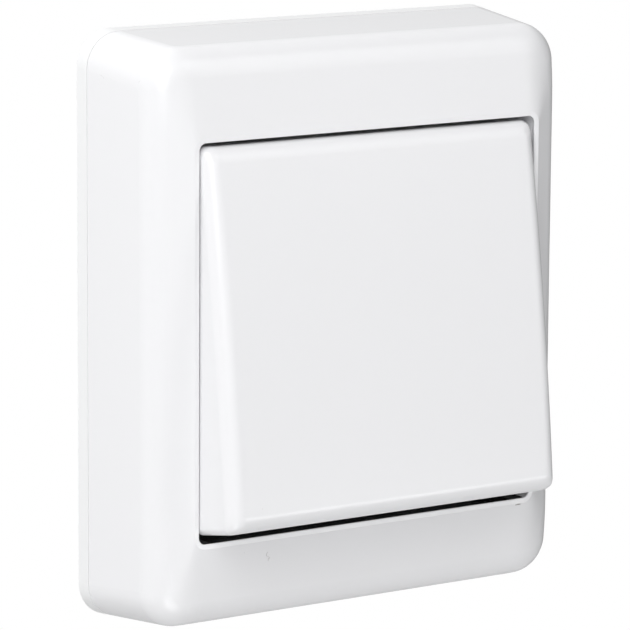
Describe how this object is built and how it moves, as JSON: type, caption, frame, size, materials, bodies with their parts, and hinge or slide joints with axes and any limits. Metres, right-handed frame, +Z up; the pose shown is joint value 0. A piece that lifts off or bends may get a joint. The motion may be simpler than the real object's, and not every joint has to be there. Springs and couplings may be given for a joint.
{
  "type": "surface-mounted light switch",
  "caption": "White surface-mounted rocker light switch: drafted box cover with a hipped front, one large square rocker, a wall base and a change-over mechanism with screw terminals inside.",
  "frame": {"origin": "middle of the back face, which lies on the wall", "axes": "+X to the right as seen from the room, +Y into the wall, +Z up"},
  "size_m": [0.07, 0.0277, 0.082],
  "materials": {
    "white_shell": "satin gloss",
    "white_base": "satin",
    "insulating_plastic": "matt",
    "white_inner_plastic": "matt",
    "brass": "rolled",
    "contact_metal": "polished",
    "steel": "zinc plated"
  },
  "bodies": {
    "case": {"base_plate": "white_base", "cover_frame": "white_shell", "mechanism_housing": "insulating_plastic", "mechanism_lid": "insulating_plastic", "common_terminal": "brass", "upper_terminal": "brass", "lower_terminal": "brass", "upper_fixed_contact": "contact_metal", "lower_fixed_contact": "contact_metal", "common_clamp": "steel", "upper_clamp": "steel", "lower_clamp": "steel", "terminal_screws": "steel", "lid_screws": "steel", "mechanism_screws": "steel"},
    "rocker": {"rocker": "white_shell", "rocker_carrier": "white_inner_plastic"},
    "plunger": {"plunger": "white_inner_plastic", "plunger_spring": "steel"},
    "contact": {"contact_bridge": "brass", "upper_moving_contact": "contact_metal", "lower_moving_contact": "contact_metal"}
  },
  "joints": [
    {"name": "rocker_hinge", "type": "hinge", "parent": "case", "child": "rocker", "pos_m": [0, -0.0163, 0], "axis": [1, 0, 0], "range_deg": [0, 15.32]},
    {"name": "contact_hinge", "type": "hinge", "parent": "case", "child": "contact", "pos_m": [0, -0.00762, 0], "axis": [-1, 0, 0], "range_deg": [0, 19]},
    {"name": "plunger_slide", "type": "slide", "parent": "rocker", "child": "plunger", "axis": [0, -0.9911, 0.1333], "range_m": [0, 0.0004], "stiffness_N_per_m": 400, "springref_m": -0.0015}
  ],
  "couplings": [
    {"joint": "contact_hinge", "follows": "rocker_hinge", "ratio": 1.2402}
  ]
}
